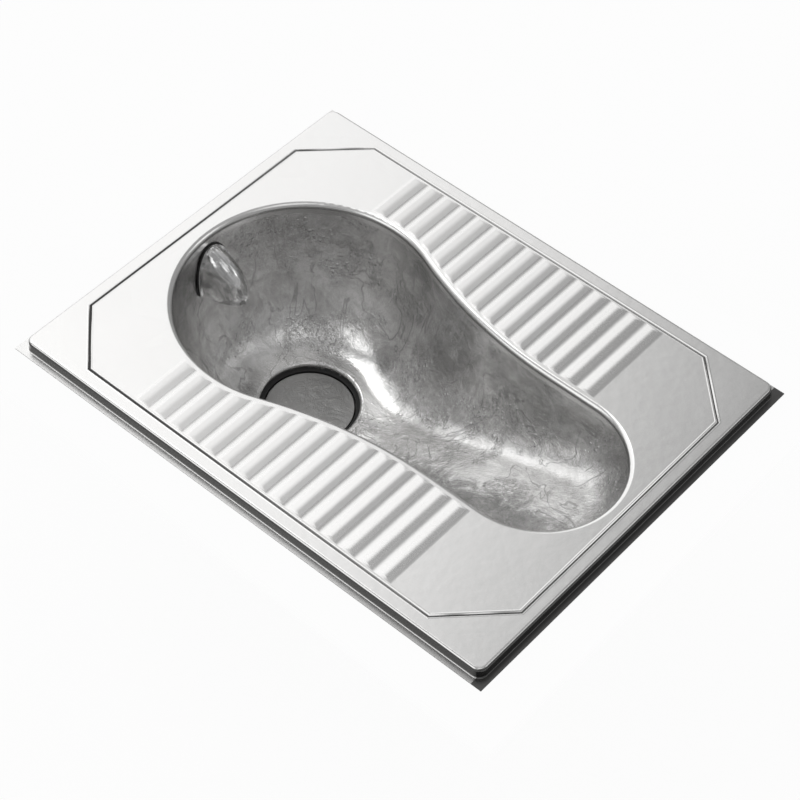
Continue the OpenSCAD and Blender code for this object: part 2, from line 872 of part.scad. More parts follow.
module shaft_bush_far() {
    color("ivory") shaft_bush();
}

module shaft_bush_near() {
    color("ivory") mirror([0, 1, 0]) shaft_bush();
}

module flap_plate() {
    boss_edge = flap_boss_r + flap_boss_h;
    under = -flap_t;
    color("silver")
        translate([drain_x, 0, flap_z])
            rotate_extrude()
                polygon([
                    [0, flap_boss_h], [flap_boss_r, flap_boss_h], [boss_edge, 0], [flap_r, 0],
                    [flap_r, under], [boss_edge - flap_t / 2, under],
                    [flap_boss_r - flap_t / 2, flap_boss_h + under], [0, flap_boss_h + under]
                ]);
}

// Pin through the hub and the shaft. play widens it to make the hole it sits in.
module cross_pin(play) {
    translate([hinge_at[0], 0, hinge_z - hub_r]) cylinder(r = PIN_R + play, h = 2 * hub_r - PIN_R);
}

// Arm under the flap: a pad fills the hollow of its raised middle, and a web ends in the hub.
module flap_bracket() {
    arm_top = flap_z - flap_t;
    arm_z = arm_top - bracket_t;
    pad_end = flap_boss_r - 2 * flap_boss_h - bracket_w / 8;
    web_w = hub_r * 2;
    color("silver")
        difference() {
            translate([drain_x, -bracket_w / 2, 0]) {
                translate([-bracket_reach, 0, arm_z])
                    cube([bracket_reach + hinge_x + hub_r / 2, bracket_w, bracket_t]);
                translate([-bracket_reach, 0, arm_top - JOIN])
                    cube([bracket_reach + pad_end, bracket_w, flap_boss_h + JOIN]);
                translate([hinge_x + hub_r / 2 - web_w, 0, hinge_z])
                    cube([web_w, bracket_w, arm_z - hinge_z + JOIN]);
                translate([hinge_x, 0, hinge_z]) along_y() cylinder(r = hub_r, h = bracket_w);
            }
            at_hinge(-bracket_w) cylinder(r = shaft_r + fit_play, h = 2 * bracket_w);
            cross_pin(fit_play);
        }
}

module flap_shaft() {
    color("gainsboro")
        difference() {
            at_hinge(-shaft_l / 2) cylinder(r = shaft_r, h = shaft_l);
            cross_pin(fit_play);
        }
}

module hub_pin() {
    color("silver") cross_pin(0);
}

// ---- Counterweight ----

SET_SCREW_R = 2;
WEIGHT_SCREW_L = 18;
lever_y = boss_y + bush_flange_t + lever_gap;
weight_at = hinge_at + lever_l * [cos(lever_angle), 0, -sin(lever_angle)];

// Set screw place in a lever's hub, from below.
module set_screw(radius, length) {
    translate(hinge_at + [0, lever_y + lever_t / 2, -lever_hub_r]) cylinder(r = radius, h = length);
}

// Lever on the far side. The near one is its mirror image.
module lever() {
    difference() {
        union() {
            at_hinge(lever_y) cylinder(r = lever_hub_r, h = lever_t);
            translate(hinge_at + [0, lever_y, 0]) rotate([0, lever_angle, 0])
                translate([0, 0, -lever_w / 2]) cube([lever_l, lever_t, lever_w]);
            translate(weight_at + [0, lever_y, 0]) along_y()
                cylinder(r = lever_w / 2, h = lever_t);
        }
        at_hinge(lever_y - CUT) cylinder(r = shaft_r + fit_play, h = lever_t + 2 * CUT);
        translate(weight_at + [0, lever_y - CUT, 0]) along_y()
            cylinder(r = M6_R + fit_play, h = lever_t + 2 * CUT);
        translate([0, 0, -CUT]) set_screw(SET_SCREW_R + fit_play, lever_hub_r);
    }
}

module lever_far() {
    color("silver") lever();
}

module lever_near() {
    color("silver") mirror([0, 1, 0]) lever();
}

module counterweight() {
    color("slategray")
        difference() {
            translate(weight_at - [0, lever_y, 0]) along_y()
                cylinder(r = weight_r, h = 2 * lever_y);
            both_sides()
                translate(weight_at + [0, lever_y + lever_t - WEIGHT_SCREW_L, 0]) along_y()
                    cylinder(r = M6_R + fit_play, h = WEIGHT_SCREW_L);
        }
}

module weight_screws() {
    color("gainsboro")
        both_sides()
            translate(weight_at + [0, lever_y + lever_t, 0]) {
                along_y() hex(M6_AF, M6_HEAD_T);
                translate([0, -WEIGHT_SCREW_L, 0]) along_y()
                    cylinder(r = M6_R, h = WEIGHT_SCREW_L + JOIN);
            }
}

module lever_screws() {
    color("dimgray") both_sides() set_screw(SET_SCREW_R, lever_hub_r - shaft_r);
}

// ---- Supports ----

LUG_TOP_GAP = 0.5;
PAD_ROUND_END = 60;
PAD_NARROW_END = 60;
PAD_SIDE = 75;

// Hat section under a footrest, on the far side.
module stiffener() {
    foot = hat_w / 2 + hat_flange;
    web = hat_w / 2;
    translate([rib_mid_x - hat_l / 2, hat_y, deck_under]) along_x() linear_extrude(hat_l)
        polygon([
            [-foot, 0], [-web + hat_t, 0], [-web + hat_t, hat_t - hat_h],
            [web - hat_t, hat_t - hat_h], [web - hat_t, 0], [foot, 0],
            [foot, -hat_t], [web, -hat_t], [web, -hat_h],
            [-web, -hat_h], [-web, -hat_t], [-foot, -hat_t]
        ]);
}

module stiffener_far() {
    color("darkgray") stiffener();
}

module stiffener_near() {
    color("darkgray") mirror([0, 1, 0]) stiffener();
}

// Lug welded inside the skirt, with its foot turned in under the deck.
module anchor_lug(side_x, side_y) {
    wall = half_w - sheet;
    top = deck_h - edge_r - LUG_TOP_GAP;
    color("darkgray")
        scale([1, side_y, 1])
            translate([side_x * lug_x - lug_w / 2, 0, 0])
                difference() {
                    along_x() linear_extrude(lug_w) {
                        translate([wall - lug_t, -lug_depth]) square([lug_t, lug_depth + top]);
                        translate([wall - foot_w, -lug_depth]) square([foot_w, lug_t]);
                    }
                    translate([lug_w / 2, lug_y, -lug_depth - CUT])
                        cylinder(r = lug_hole_r, h = lug_t + 2 * CUT);
                }
}

module anchor_lug_1() {
    anchor_lug(-1, -1);
}

module anchor_lug_2() {
    anchor_lug(1, -1);
}

module anchor_lug_3() {
    anchor_lug(1, 1);
}

module anchor_lug_4() {
    anchor_lug(-1, 1);
}

// Pad glued under the deck, with its middle at x. side_y is its side of the deck.
module damping_pad(x, side_y) {
    color("dimgray")
        translate([x - pad_l / 2, side_y * (half_w - PAD_SIDE) - pad_w / 2, deck_under - pad_t])
            cube([pad_l, pad_w, pad_t]);
}

module damping_pad_1() {
    damping_pad(PAD_ROUND_END - half_l, -1);
}

module damping_pad_2() {
    damping_pad(half_l - PAD_NARROW_END, -1);
}

module damping_pad_3() {
    damping_pad(half_l - PAD_NARROW_END, 1);
}

module damping_pad_4() {
    damping_pad(PAD_ROUND_END - half_l, 1);
}

// ---- Earth bonding ----

TAG_END = 28;
TAG_SIDE = 95;
TAG_FOOT = 9;
tag_x = half_l - TAG_END;
tag_y = half_w - TAG_SIDE;
tag_bolt_z = deck_under - tag_h + tag_bolt_h;

module at_earth(x) {
    translate([x, tag_y, tag_bolt_z]) along_x() children();
}

module earth_tag() {
    color("darkgray")
        difference() {
            translate([tag_x, tag_y - tag_w / 2, deck_under - tag_h]) {
                cube([tag_t, tag_w, tag_h]);
                translate([tag_t - TAG_FOOT, 0, tag_h - tag_t]) cube([TAG_FOOT, tag_w, tag_t]);
            }
            at_earth(tag_x - CUT) cylinder(r = M6_HOLE_R, h = tag_t + 2 * CUT);
        }
}

module earth_bolt() {
    color("goldenrod") {
        at_earth(tag_x - M6_HEAD_T) hex(M6_AF, M6_HEAD_T);
        at_earth(tag_x - JOIN) cylinder(r = M6_R, h = bolt_l + JOIN);
    }
}

module earth_washer() {
    color("goldenrod") at_earth(tag_x + tag_t) ring(M6_WASHER_R, M6_R + fit_play, M6_WASHER_T);
}

module earth_nut() {
    color("goldenrod")
        at_earth(tag_x + tag_t + M6_WASHER_T) hex_nut(M6_AF, M6_R + fit_play, M6_NUT_T);
}

deck_plate();
bowl_shell();
spout_hood();
spout_gasket();
inlet_tail();
inlet_saddle();
inlet_washer();
inlet_locknut();
outlet_flange();
seat_gasket();
valve_housing();
waste_spigot();
flange_washers();
flange_nuts();
shaft_bush_near();
shaft_bush_far();
flap_plate();
flap_bracket();
flap_shaft();
hub_pin();
lever_near();
lever_far();
counterweight();
weight_screws();
lever_screws();
stiffener_near();
stiffener_far();
anchor_lug_1();
anchor_lug_2();
anchor_lug_3();
anchor_lug_4();
damping_pad_1();
damping_pad_2();
damping_pad_3();
damping_pad_4();
earth_tag();
earth_bolt();
earth_washer();
earth_nut();
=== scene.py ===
import json
import math

import bmesh
import bpy
from mathutils import Matrix, Vector


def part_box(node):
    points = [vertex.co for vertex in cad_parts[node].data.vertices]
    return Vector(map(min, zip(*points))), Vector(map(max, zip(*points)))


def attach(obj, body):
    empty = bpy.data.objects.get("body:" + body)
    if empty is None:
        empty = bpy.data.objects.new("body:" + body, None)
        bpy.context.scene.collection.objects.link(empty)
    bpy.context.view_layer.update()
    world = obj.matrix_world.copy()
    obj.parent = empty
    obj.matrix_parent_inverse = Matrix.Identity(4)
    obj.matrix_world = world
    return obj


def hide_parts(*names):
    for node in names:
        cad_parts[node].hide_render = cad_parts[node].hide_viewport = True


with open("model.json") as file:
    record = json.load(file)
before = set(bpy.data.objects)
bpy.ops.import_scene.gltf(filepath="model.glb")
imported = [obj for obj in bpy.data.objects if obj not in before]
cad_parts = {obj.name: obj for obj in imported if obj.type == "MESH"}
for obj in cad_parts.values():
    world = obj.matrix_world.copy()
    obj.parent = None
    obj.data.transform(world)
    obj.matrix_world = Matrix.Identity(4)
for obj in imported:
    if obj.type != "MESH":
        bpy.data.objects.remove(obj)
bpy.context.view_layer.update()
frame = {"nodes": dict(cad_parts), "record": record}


# the camera and the frame of the picture come from the photograph
camera = {
    "place": (0.958, -1.182, 1.760),
    "right": (0.75464, 0.65544, 0.03),
    "down": (0.51600, -0.56461, -0.64418),
    "lens": 107.01,
    "sensor": 36,
}


def addCamera():
    bpy.ops.object.camera_add(location=camera["place"])
    view = bpy.context.object
    right = Vector(camera["right"]).normalized()
    up = -Vector(camera["down"]).normalized()
    back = right.cross(up).normalized()
    turn = Matrix((right, back.cross(right), back)).transposed()
    view.matrix_world = Matrix.Translation(camera["place"]) @ turn.to_4x4()
    view.data.lens = camera["lens"]
    view.data.sensor_width = camera["sensor"]
    view.data.clip_end = 100
    bpy.context.scene.camera = view


class Wire:
    # a value on its way through a shader, so that sums read as plain expressions
    def __init__(self, board, socket):
        self.board = board
        self.socket = socket

    def __add__(self, other):
        return self.board.sum("ADD", self, other)

    def __radd__(self, other):
        return self.board.sum("ADD", other, self)

    def __sub__(self, other):
        return self.board.sum("SUBTRACT", self, other)

    def __rsub__(self, other):
        return self.board.sum("SUBTRACT", other, self)

    def __mul__(self, other):
        return self.board.sum("MULTIPLY", self, other)

    def __rmul__(self, other):
        return self.board.sum("MULTIPLY", other, self)


class Board:
    # the nodes of one material, or of the world
    def __init__(self, tree):
        self.tree = tree
        tree.nodes.clear()

    def add(self, kind, settings=None, sockets=None, output=0):
        node = self.tree.nodes.new(kind)
        for name, value in (settings or {}).items():
            setattr(node, name, value)
        for name, value in (sockets or {}).items():
            if isinstance(value, Wire):
                self.tree.links.new(value.socket, node.inputs[name])
            else:
                node.inputs[name].default_value = value
        return Wire(self, node.outputs[output]) if node.outputs else None

    def sum(self, operation, first, second):
        return self.add("ShaderNodeMath", {"operation": operation}, {0: first, 1: second})

    # object coordinates from a centre, scaled to so many waves a metre
    def place(self, scale, centre=(0, 0, 0), turn=(0, 0, 0)):
        coords = self.add("ShaderNodeTexCoord", output="Object")
        moved = self.add("ShaderNodeVectorMath", {"operation": "SUBTRACT"}, {0: coords, 1: centre})
        return self.add("ShaderNodeMapping", None, {"Vector": moved, "Scale": scale, "Rotation": turn})

    def noise(self, scale, detail=3.0, roughness=0.5, distortion=0.0, centre=(0, 0, 0), turn=(0, 0, 0)):
        return self.add("ShaderNodeTexNoise", None, {
            "Vector": self.place(scale, centre, turn), "Scale": 1.0, "Detail": detail,
            "Roughness": roughness, "Distortion": distortion})

    # narrow lines where a noise passes through its middle value
    def lines(self, noise, edge):
        return self.span(self.sum("ABSOLUTE", noise - 0.5, 0.0), *edge)

    def axis(self, letter):
        coords = self.add("ShaderNodeTexCoord", output="Object")
        return self.add("ShaderNodeSeparateXYZ", None, {"Vector": coords}, output=letter)

    # distance from the middle along X or Y
    def aside(self, letter):
        return self.sum("ABSOLUTE", self.axis(letter), 0.0)

    # an eased step from start to end while the value goes from low to high
    def span(self, value, low, high, start=0.0, end=1.0):
        return self.add("ShaderNodeMapRange", {"interpolation_type": "SMOOTHSTEP", "clamp": True}, {
            "Value": value, "From Min": low, "From Max": high, "To Min": start, "To Max": end})

    def blend(self, amount, first, second):
        return self.add("ShaderNodeMix", {"data_type": "RGBA"}, {
            0: amount, 6: first, 7: second}, output=2)

    def bump(self, height, distance, strength=1.0):
        return self.add("ShaderNodeBump", None, {
            "Height": height, "Distance": distance, "Strength": strength})

    def close(self, sockets):
        shader = self.add("ShaderNodeBsdfPrincipled", None, sockets)
        self.add("ShaderNodeOutputMaterial", None, {"Surface": shader})


def newMaterial(name):
    material = bpy.data.materials.new(name)
    material.use_nodes = True
    return material, Board(material.node_tree)


# a grey, or one that leans to yellow by a share
def grey(level, warm=0.0):
    return (level, level * (1 - 0.4 * warm), level * (1 - warm), 1.0)


# Each look names its patterns in waves a metre along X, Y and Z, its colours, its roughness and
# the depth of its relief in metres.

# satin pressed sheet: faint clouds, a fine grain along the deck, rib crests rougher than the
# flat, painted shade on the turned-down edge and its lip, a soft swell along the pressed line with
# painted shade in its foot, and a painted band of shade where the rim turns down into the bowl
deckLook = {
    "bright": 0.83, "dull": 0.78, "roughness": 0.23, "relief": 0.00012,
    "clouds": (9, 9, 9), "grain": (60, 1800, 1800), "orangePeel": (90, 90, 90),
    # the turned-down edge, in painted shade, dark over more of its height at the +X end
    "skirt": 0.12, "skirtX": 0.2845, "skirtY": 0.2195, "skirtSoft": 0.001,
    "skirtTop": 0.0122, "skirtFoot": 0.0014, "footSoft": 0.0008,
    "end": 0.2850, "endRise": 0.0006, "endDrop": 0.004,
    # the lip, with painted shade that grows darker towards the +X end
    "lipDark": 0.40, "lipRoughness": 0.20, "lipShade": (0.0, 0.285, 0.1, 0.9),
    # the pressed line, with painted shade in its foot, thinner towards the far right but for the +X end
    "lineX": 0.275, "lineY": 0.2085, "lineSum": 0.4245, "lineTop": 0.0129, "lineFoot": 0.0124,
    "lineShade": 0.06, "lineShadeWidth": 0.0010, "lineShadeEdge": (0.0006, -0.0001),
    "lineShadeFar": 0.62, "lineShadeTurn": 0.9, "lineShadeSpan": (-0.35, 0.20),
    "endFrom": 0.18, "endTo": 0.25, "endLineShade": 0.38, "endNarrower": 0.5,
    "swell": 0.55, "swellInner": (0.0014, 0.0020), "swellOuter": (0.0032, 0.0022),
    # the rim's collar with a painted band of shade, and the ribs, rougher towards the -X end
    "collar": 0.36, "collarShadeTop": (0.0102, 0.0087), "collarShadeFoot": (0.0060, 0.0080),
    "deckTop": 0.0131, "ribTop": 0.0135, "blasted": 0.20, "blastedSpan": (0.15, -0.10),
}


def deckSteel():
    look = deckLook
    material, board = newMaterial("deckSteel")
    clouds = board.noise(look["clouds"], detail=4.0)
    grain = board.noise(look["grain"], detail=2.0)
    orangePeel = board.noise(look["orangePeel"], detail=2.0)
    level, alongX, alongY = board.axis("Z"), board.aside("X"), board.aside("Y")

    # painted shade: outside the deck's outline the turned-down edge is darkened, over more of its height
    # at the +X end
    past = board.sum("MAXIMUM", alongX - look["skirtX"], alongY - look["skirtY"])
    outside = board.span(past, 0.0, look["skirtSoft"])
    end = board.span(board.axis("X"), look["end"], look["end"] + look["skirtSoft"])
    foot = board.span(
        level + look["endDrop"] * end, look["skirtFoot"], look["skirtFoot"] + look["footSoft"])
    head = board.span(
        level - look["endRise"] * end, look["skirtTop"], look["skirtTop"] - look["footSoft"])
    side = outside * foot * head
    lip = outside * board.span(level, look["skirtFoot"], look["skirtFoot"] - look["footSoft"])

    # painted shade in the foot of the pressed line: strongest towards -X and -Y, and again at the +X end
    near = board.sum("MAXIMUM", alongX - look["lineX"], alongY - look["lineY"])
    corner = (alongX + alongY - look["lineSum"]) * math.sqrt(0.5)
    near = board.sum("ABSOLUTE", board.sum("MAXIMUM", near, corner), 0.0)
    across = board.axis("X") + look["lineShadeTurn"] * board.axis("Y")
    lineShading = board.span(across, *look["lineShadeSpan"], 1.0, look["lineShadeFar"])
    atEnd = board.span(board.axis("X"), look["endFrom"], look["endTo"])
    width = look["lineShadeWidth"] * lineShading * (1.0 - look["endNarrower"] * atEnd)
    line = (lineShading + look["endLineShade"] * atEnd) * board.span(near - width, *look["lineShadeEdge"]) * (
        board.span(level, look["lineTop"], look["lineFoot"]))
    swell = (1.0 + atEnd) * board.span(near, *look["swellInner"]) * board.span(near, *look["swellOuter"])

    # painted shade: a dark band on the collar just above the bowl's lap, where the rim turns down
    collar = (1.0 - outside) * board.span(level, *look["collarShadeTop"]) * (
        board.span(level, *look["collarShadeFoot"]))
    ribbed = board.span(level, look["deckTop"], look["ribTop"])
    blasted = ribbed * board.span(board.axis("X"), *look["blastedSpan"])

    plain = board.blend(clouds, grey(look["dull"], 0.02), grey(look["bright"], 0.01))
    # painted shade: the lip grows darker towards the +X end
    shaded = lip * board.span(board.axis("X"), *look["lipShade"])
    edged = board.blend(shaded, plain, grey(look["lipDark"], 0.02))
    # painted shade on the turned-down edge
    edged = board.blend(side, edged, grey(look["skirt"], 0.02))
    # painted shade on the collar
    edged = board.blend(collar, edged, grey(look["collar"], 0.02))
    # painted shade along the pressed line
    colour = board.blend(line, edged, grey(look["lineShade"], 0.02))
    roughness = look["roughness"] + 0.06 * (clouds - 0.5) + 0.08 * (grain - 0.5) + (
        look["blasted"] * blasted + 0.04 * ribbed + look["lipRoughness"] * lip)
    relief = (0.15 * grain + orangePeel * 0.6 + clouds) * (1.0 - 0.9 * lip) + look["swell"] * swell
    board.close({
        "Base Color": colour, "Metallic": 1.0, "Roughness": roughness,
        "Normal": board.bump(relief, look["relief"])})
    return material


# drawn bowl: dull from drawing and streaked down its slopes, smoother in a streak beside the drain
# with a painted highlight along it, wet and rippled on the channel's near side, with drops and
# edges of wet films on its walls
bowlLook = {
    "bright": 0.84, "dull": 0.63, "wet": 0.50, "streakHighlight": 0.96, "edged": 0.26,
    "roughness": 0.22, "relief": 0.0010, "tone": (0.38, 0.62),
    "runs": (10, 10, 70), "marks": (34, 34, 34), "ripples": (110, 150, 110),
    "patches": (26, 26, 26), "sheets": (20, 20, 9), "wrinkles": (260, 260, 130),
    # the pattern that flows to the drain, turned a little about it
    "flow": (16, 60, 16), "drain": (-0.118, 0, -0.141), "flowTurn": 0.1,
    # the rippled stretch, along each axis from where it starts to where it is full
    "rippleX": (-0.030, 0.030), "rippleY": (0.010, -0.020), "rippleZ": (-0.025, -0.060),
    "rippleSway": 0.05,
    # drops, as cells a metre, with the span of a cell and of the patches that they stand in
    "dropCells": 210, "dropEdge": (0.34, 0.12), "dropPatch": (0.50, 0.60),
    # the streak, smoother and with a painted highlight, an ellipsoid with a ragged edge
    "streak": (-0.088, 0.060, -0.135), "streakSize": (0.085, 0.028, 0.040), "streakTurn": -0.51,
    "streakEdge": (1.1, 0.4),
    # dark lines at the edges of films, below a height, and wrinkles in patches
    "filmTop": -0.024, "filmFoot": -0.050, "filmEdge": (0.012, 0.002), "film": 0.44,
    "wrinkleEdge": (0.040, 0.005), "wrinklePatch": (0.47, 0.57), "wrinkle": 0.42,
}


def bowlSteel():
    look = bowlLook
    material, board = newMaterial("bowlSteel")
    runs = board.noise(look["runs"], detail=5.0, roughness=0.6, distortion=1.2)
    flow = board.noise(
        look["flow"], detail=6.0, roughness=0.6, distortion=0.8, centre=look["drain"],
        turn=(0, 0, look["flowTurn"]))
    marks = board.noise(look["marks"], detail=6.0, roughness=0.62, distortion=1.5)
    ripples = board.noise(look["ripples"], detail=6.0, roughness=0.66, distortion=2.2)
    cells = board.add("ShaderNodeTexVoronoi", {"feature": "F1"}, {
        "Vector": board.place((1, 1, 1)), "Scale": look["dropCells"]})
    patches = board.noise(look["patches"])
    drops = board.span(cells, *look["dropEdge"]) * board.span(patches, *look["dropPatch"])

    deep = board.span(board.axis("Z"), *look["rippleZ"])
    along = board.span(board.axis("X"), *look["rippleX"])
    across = board.axis("Y") + look["rippleSway"] * (marks - 0.5)
    wet = deep * along * board.span(across, *look["rippleY"])

    coords = board.add("ShaderNodeTexCoord", output="Object")
    inStreak = board.add("ShaderNodeMapping", {"vector_type": "TEXTURE"}, {
        "Vector": coords, "Location": look["streak"], "Scale": look["streakSize"],
        "Rotation": (0, 0, look["streakTurn"])})
    toStreak = board.add("ShaderNodeVectorMath", {"operation": "LENGTH"}, {0: inStreak}, output="Value")
    washedAndHighlit = board.span(toStreak + 0.5 * (marks - 0.5), *look["streakEdge"])

    sheets = board.noise(look["sheets"], distortion=0.9)
    filmEdge = board.lines(sheets, look["filmEdge"]) * (
        board.span(board.axis("Z"), look["filmTop"], look["filmFoot"]))
    wrinkles = board.noise(look["wrinkles"], roughness=0.55, distortion=2.0)
    wrinkled = board.lines(wrinkles, look["wrinkleEdge"]) * board.span(patches, *look["wrinklePatch"])
    drawn = board.sum("MAXIMUM", look["film"] * filmEdge, look["wrinkle"] * wrinkled)
    drawn = drawn * (1.0 - 0.8 * washedAndHighlit)

    tone = board.span(0.5 * marks + 0.3 * flow + 0.2 * runs, *look["tone"])
    dry = board.blend(tone, grey(look["dull"], 0.02), grey(look["bright"], 0.01))
    # painted highlight: the streak's colour is lifted towards white
    dry = board.blend(washedAndHighlit, dry, grey(look["streakHighlight"], 0.01))
    colour = board.blend(0.9 * wet, dry, grey(look["wet"], 0.02))
    colour = board.blend(drawn, colour, grey(look["edged"], 0.02))
    roughness = look["roughness"] + 0.14 * (marks - 0.5) + 0.10 * (flow - 0.5) - (
        0.12 * wet + 0.10 * drops + 0.08 * washedAndHighlit)
    relief = (0.7 * flow + 0.4 * marks + 0.45 * ripples + 0.2 * runs) * (1.0 - 0.75 * washedAndHighlit) + (
        3.8 * ripples * wet + 0.7 * drops + 0.4 * drawn)
    board.close({
        "Base Color": colour, "Metallic": 1.0, "Roughness": roughness,
        "Normal": board.bump(relief, look["relief"], strength=0.8)})
    return material


# the bowl's outer face, which stays dry: dull, with the marks of the draw running down it
drawnLook = {
    "clouds": (14, 14, 14), "drag": (260, 260, 14), "fine": (900, 900, 900),
    "dull": 0.50, "bright": 0.66, "roughness": 0.34, "relief": 0.00012,
}


def drawnSteel():
    look = drawnLook
    material, board = newMaterial("drawnSteel")
    clouds = board.noise(look["clouds"], detail=5.0)
    drag = board.noise(look["drag"], distortion=0.4)
    fine = board.noise(look["fine"], detail=2.0)
    streaked = 0.6 * clouds + 0.4 * drag
    colour = board.blend(streaked, grey(look["dull"], 0.02), grey(look["bright"], 0.01))
    roughness = look["roughness"] + 0.12 * clouds + 0.08 * drag
    board.close({
        "Base Color": colour, "Metallic": 1.0, "Roughness": roughness,
        "Normal": board.bump(0.5 * drag + clouds + 0.3 * fine, look["relief"])})
    return material


# bright chrome with a wet film, which breaks up what it mirrors; the film's darker patches
# are painted dark reflections
chromeLook = {
    "clouds": (60, 60, 60), "film": (24, 110, 45), "fine": (700, 700, 700), "filmSpan": (0.42, 0.60),
    "wet": 0.58, "bright": 0.97, "roughness": 0.05, "relief": 0.0014,
}


def hoodChrome():
    look = chromeLook
    material, board = newMaterial("hoodChrome")
    clouds = board.noise(look["clouds"])
    film = board.noise(look["film"], distortion=0.8)
    clear = board.span(film, *look["filmSpan"])
    fine = board.noise(look["fine"], detail=2.0)
    # painted reflection: darker film patches stand in for dark things mirrored in the chrome
    colour = board.blend(clear, grey(look["wet"]), grey(look["bright"]))
    roughness = look["roughness"] + 0.06 * clouds + 0.03 * fine
    board.close({
        "Base Color": colour, "Metallic": 1.0, "Roughness": roughness,
        "Normal": board.bump(0.4 * clouds + film + 0.05 * fine, look["relief"])})
    return material


rubberLook = {
    "clouds": (40, 40, 40), "fine": (1400, 1400, 1400),
    "dark": 0.018, "light": 0.034, "roughness": 0.5, "specular": 0.4, "relief": 0.00006,
}


def blackRubber():
    look = rubberLook
    material, board = newMaterial("blackRubber")
    clouds = board.noise(look["clouds"], detail=4.0)
    fine = board.noise(look["fine"], detail=2.0)
    colour = board.blend(clouds, grey(look["dark"]), grey(look["light"]))
    board.close({
        "Base Color": colour, "Roughness": look["roughness"] + 0.2 * clouds,
        "Normal": board.bump(fine, look["relief"]),
        "Specular IOR Level": look["specular"]})
    return material


# zinc plate: a thin bluish passivated skin, duller in clouds
platedLook = {
    "clouds": (80, 80, 80), "lathe": (1500, 200, 200),
    "bluish": (0.58, 0.60, 0.63, 1), "bright": (0.74, 0.74, 0.73, 1),
    "roughness": 0.24, "relief": 0.00005,
}


def platedSteel():
    look = platedLook
    material, board = newMaterial("platedSteel")
    clouds = board.noise(look["clouds"], detail=5.0)
    lathe = board.noise(look["lathe"], detail=2.0)
    colour = board.blend(clouds, look["bluish"], look["bright"])
    roughness = look["roughness"] + 0.14 * clouds + 0.06 * lathe
    board.close({
        "Base Color": colour, "Metallic": 1.0, "Roughness": roughness,
        "Normal": board.bump(lathe + clouds, look["relief"])})
    return material


flangeLook = {
    "clouds": (30, 30, 30), "rolled": (40, 1200, 1200),
    "dull": 0.50, "bright": 0.64, "roughness": 0.32, "relief": 0.00008,
}


def flangeSteel():
    look = flangeLook
    material, board = newMaterial("flangeSteel")
    clouds = board.noise(look["clouds"], detail=5.0)
    rolled = board.noise(look["rolled"], detail=2.0)
    colour = board.blend(clouds, grey(look["dull"], 0.03), grey(look["bright"], 0.02))
    roughness = look["roughness"] + 0.12 * clouds + 0.08 * rolled
    board.close({
        "Base Color": colour, "Metallic": 1.0, "Roughness": roughness,
        "Normal": board.bump(rolled + clouds, look["relief"])})
    return material


# the flap lies under water most of the time, so it is dull and spotted with lime
flapLook = {
    "clouds": (45, 45, 45), "spots": (150, 90, 150), "limeSpan": (0.30, 0.42),
    "bare": 0.33, "limed": 0.50, "roughness": 0.30, "relief": 0.0010,
}


def flapSteel():
    look = flapLook
    material, board = newMaterial("flapSteel")
    clouds = board.noise(look["clouds"], detail=6.0, roughness=0.6, distortion=1.0)
    spots = board.noise(look["spots"], detail=4.0, roughness=0.6, distortion=2.0)
    lime = board.span(spots * clouds, *look["limeSpan"])
    colour = board.blend(lime, grey(look["bare"], 0.02), grey(look["limed"], 0.05))
    roughness = look["roughness"] + 0.2 * lime + 0.1 * clouds
    board.close({
        "Base Color": colour, "Metallic": 1.0, "Roughness": roughness,
        "Normal": board.bump(clouds + 0.35 * spots, look["relief"])})
    return material


housingLook = {
    "clouds": (25, 25, 25), "spark": (1100, 1100, 1100), "flow": (12, 12, 60),
    "dark": 0.030, "light": 0.048, "roughness": 0.42, "ior": 1.49, "relief": 0.00008,
}


def housingPlastic():
    look = housingLook
    material, board = newMaterial("housingPlastic")
    clouds = board.noise(look["clouds"], detail=4.0)
    spark = board.noise(look["spark"], detail=2.0)
    flow = board.noise(look["flow"], distortion=0.6)
    mottled = 0.6 * clouds + 0.4 * flow
    colour = board.blend(mottled, grey(look["dark"]), grey(look["light"]))
    board.close({
        "Base Color": colour, "Roughness": look["roughness"] + 0.12 * flow,
        "Normal": board.bump(spark + 0.6 * flow, look["relief"]), "IOR": look["ior"]})
    return material


bushLook = {
    "clouds": (90, 90, 90), "fine": (900, 900, 900),
    "yellowed": (0.70, 0.67, 0.57, 1), "fresh": (0.80, 0.78, 0.70, 1),
    "roughness": 0.38, "ior": 1.53, "relief": 0.00004,
}


def bushPlastic():
    look = bushLook
    material, board = newMaterial("bushPlastic")
    clouds = board.noise(look["clouds"])
    fine = board.noise(look["fine"], detail=2.0)
    colour = board.blend(clouds, look["yellowed"], look["fresh"])
    board.close({
        "Base Color": colour, "Roughness": look["roughness"] + 0.1 * fine,
        "Normal": board.bump(fine, look["relief"]), "IOR": look["ior"]})
    return material


# painted casting, worn to a brownish bare metal on its highest grains
ironLook = {
    "clouds": (50, 50, 50), "sand": (420, 420, 420), "wornSpan": (0.30, 0.40),
    "paint": 0.040, "bare": (0.10, 0.085, 0.07, 1),
    "metallic": 0.2, "roughness": 0.5, "relief": 0.0003,
}


def weightIron():
    look = ironLook
    material, board = newMaterial("weightIron")
    clouds = board.noise(look["clouds"], detail=5.0)
    sand = board.noise(look["sand"], detail=4.0)
    worn = board.span(sand * clouds, *look["wornSpan"])
    colour = board.blend(worn, grey(look["paint"]), look["bare"])
    board.close({
        "Base Color": colour, "Metallic": look["metallic"],
        "Roughness": look["roughness"] + 0.2 * sand,
        "Normal": board.bump(sand + 0.5 * clouds, look["relief"])})
    return material


# galvanised sheet: spangle of flat crystals
supportLook = {
    "clouds": (30, 30, 30), "crystals": (160, 160, 160),
    "dark": (0.42, 0.43, 0.45, 1), "bright": (0.60, 0.61, 0.62, 1),
    "roughness": 0.36, "relief": 0.00008,
}


